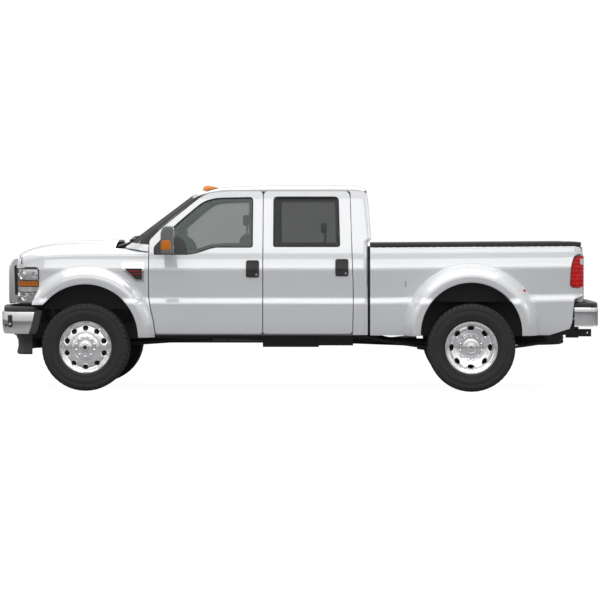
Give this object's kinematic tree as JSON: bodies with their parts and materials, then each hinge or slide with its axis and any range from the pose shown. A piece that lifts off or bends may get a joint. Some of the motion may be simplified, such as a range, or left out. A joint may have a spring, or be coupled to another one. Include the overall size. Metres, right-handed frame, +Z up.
{
  "type": "pickup truck",
  "caption": "Crew-cab heavy pickup with flared arches, twin rear wheels, hollow cab, open bed, steering front axle, and opening doors, hood and tailgate.",
  "frame": {"origin": "on the ground, under the middle of the truck's length and width", "axes": "+X towards the front of the truck, +Y towards its left side, +Z up"},
  "size_m": [6.268, 2.65, 2.13],
  "materials": {
    "white_paint": "gloss white enamel, clear-coated",
    "chrome": "bright chrome plate",
    "polished_rim": "polished",
    "tyre_rubber": "matt black rubber",
    "chassis_black": "satin black paint",
    "cast_knuckle": "raw cast",
    "steel": "plain steel",
    "exhaust_steel": "heat-stained steel",
    "engine_grey": "cast",
    "black_plastic": "matt, fine grain",
    "grey_plastic": "matt, fine grain",
    "mirror_grey": "matt, fine grain",
    "interior_plastic": "matt",
    "seat_cloth": "woven grey cloth",
    "tinted_glass": "clear, grey-green tint",
    "lamp_clear": "clear lens over bright reflectors",
    "lamp_red": "gloss red lens"
  },
  "bodies": {
    "chassis": {"frame": "chassis_black", "front_axle": "chassis_black", "rear_axle": "chassis_black", "suspension": "chassis_black", "driveshafts": "steel", "engine": "engine_grey", "radiator": "engine_grey", "exhaust": "exhaust_steel", "fuel_tank": "black_plastic", "front_bumper": "chrome", "front_valance": "grey_plastic", "grille": "chrome", "headlamps": "lamp_clear", "front_fenders": "white_paint", "wheel_liners": "black_plastic", "cab": "white_paint", "cab_glass": "tinted_glass", "dashboard": "interior_plastic", "seats": "seat_cloth", "cowl_panel": "black_plastic", "bed": "white_paint", "bed_sides": "white_paint", "rear_bumper": "chrome", "tail_lamps": "lamp_red", "hitch_receiver": "chassis_black", "spare_wheel": "tyre_rubber"},
    "left_knuckle": {"left_knuckle": "cast_knuckle"},
    "right_knuckle": {"right_knuckle": "cast_knuckle"},
    "tie_rod": {"tie_rod": "steel"},
    "hood": {"hood": "white_paint"},
    "tailgate": {"tailgate": "white_paint"},
    "steering_wheel": {"steering_wheel": "interior_plastic"},
    "front_left_wheel": {"front_left_tyre": "tyre_rubber", "front_left_rim": "polished_rim"},
    "rear_left_wheels": {"rear_left_tyres": "tyre_rubber", "rear_left_rims": "polished_rim"},
    "front_left_door": {"front_left_door": "white_paint", "front_left_glass": "tinted_glass", "left_mirror": "mirror_grey"},
    "rear_left_door": {"rear_left_door": "white_paint", "rear_left_glass": "tinted_glass"},
    "front_right_wheel": {"front_right_tyre": "tyre_rubber", "front_right_rim": "polished_rim"},
    "rear_right_wheels": {"rear_right_tyres": "tyre_rubber", "rear_right_rims": "polished_rim"},
    "front_right_door": {"front_right_door": "white_paint", "front_right_glass": "tinted_glass", "right_mirror": "mirror_grey"},
    "rear_right_door": {"rear_right_door": "white_paint", "rear_right_glass": "tinted_glass"}
  },
  "joints": [
    {"name": "left_steer", "type": "hinge", "parent": "chassis", "child": "left_knuckle", "pos_m": [2.166, 0.91, 0.45], "axis": [0, 0, 1], "range_deg": [-32, 32]},
    {"name": "right_steer", "type": "hinge", "parent": "chassis", "child": "right_knuckle", "pos_m": [2.166, -0.91, 0.45], "axis": [0, 0, 1], "range_deg": [-32, 32]},
    {"name": "tie_rod_end", "type": "hinge", "parent": "left_knuckle", "child": "tie_rod", "pos_m": [2.026, 0.91, 0.422], "axis": [0, 0, 1], "range_deg": [-32, 32]},
    {"name": "steering_wheel_turn", "type": "hinge", "parent": "chassis", "child": "steering_wheel", "pos_m": [1.045, 0.37, 1.354], "axis": [-0.8829, 0, 0.4695], "range_deg": [-544, 544]},
    {"name": "front_left_spin", "type": "hinge", "parent": "left_knuckle", "child": "front_left_wheel", "pos_m": [2.166, 0.95, 0.45], "axis": [0, 1, 0], "continuous": true},
    {"name": "front_right_spin", "type": "hinge", "parent": "right_knuckle", "child": "front_right_wheel", "pos_m": [2.166, -0.95, 0.45], "axis": [0, 1, 0], "continuous": true},
    {"name": "rear_left_spin", "type": "hinge", "parent": "chassis", "child": "rear_left_wheels", "pos_m": [-1.801, 1.075, 0.45], "axis": [0, 1, 0], "continuous": true},
    {"name": "rear_right_spin", "type": "hinge", "parent": "chassis", "child": "rear_right_wheels", "pos_m": [-1.801, -1.075, 0.45], "axis": [0, 1, 0], "continuous": true},
    {"name": "front_left_door_hinge", "type": "hinge", "parent": "chassis", "child": "front_left_door", "pos_m": [1.53, 1.015, 1.15], "axis": [0, 0, -1], "range_deg": [0, 62]},
    {"name": "rear_left_door_hinge", "type": "hinge", "parent": "chassis", "child": "rear_left_door", "pos_m": [0.352, 1.015, 1.15], "axis": [0, 0, -1], "range_deg": [0, 66]},
    {"name": "front_right_door_hinge", "type": "hinge", "parent": "chassis", "child": "front_right_door", "pos_m": [1.53, -1.015, 1.15], "axis": [0, 0, 1], "range_deg": [0, 62]},
    {"name": "rear_right_door_hinge", "type": "hinge", "parent": "chassis", "child": "rear_right_door", "pos_m": [0.352, -1.015, 1.15], "axis": [0, 0, 1], "range_deg": [0, 66]},
    {"name": "hood_hinge", "type": "hinge", "parent": "chassis", "child": "hood", "pos_m": [1.872, 0, 1.503], "axis": [0, -1, 0], "range_deg": [0, 48]},
    {"name": "tailgate_hinge", "type": "hinge", "parent": "chassis", "child": "tailgate", "pos_m": [-2.984, 0, 0.937], "axis": [0, -1, 0], "range_deg": [0, 90]}
  ],
  "couplings": [
    {"joint": "right_steer", "follows": "left_steer", "ratio": 1},
    {"joint": "tie_rod_end", "follows": "left_steer", "ratio": -1},
    {"joint": "steering_wheel_turn", "follows": "left_steer", "ratio": 17}
  ]
}
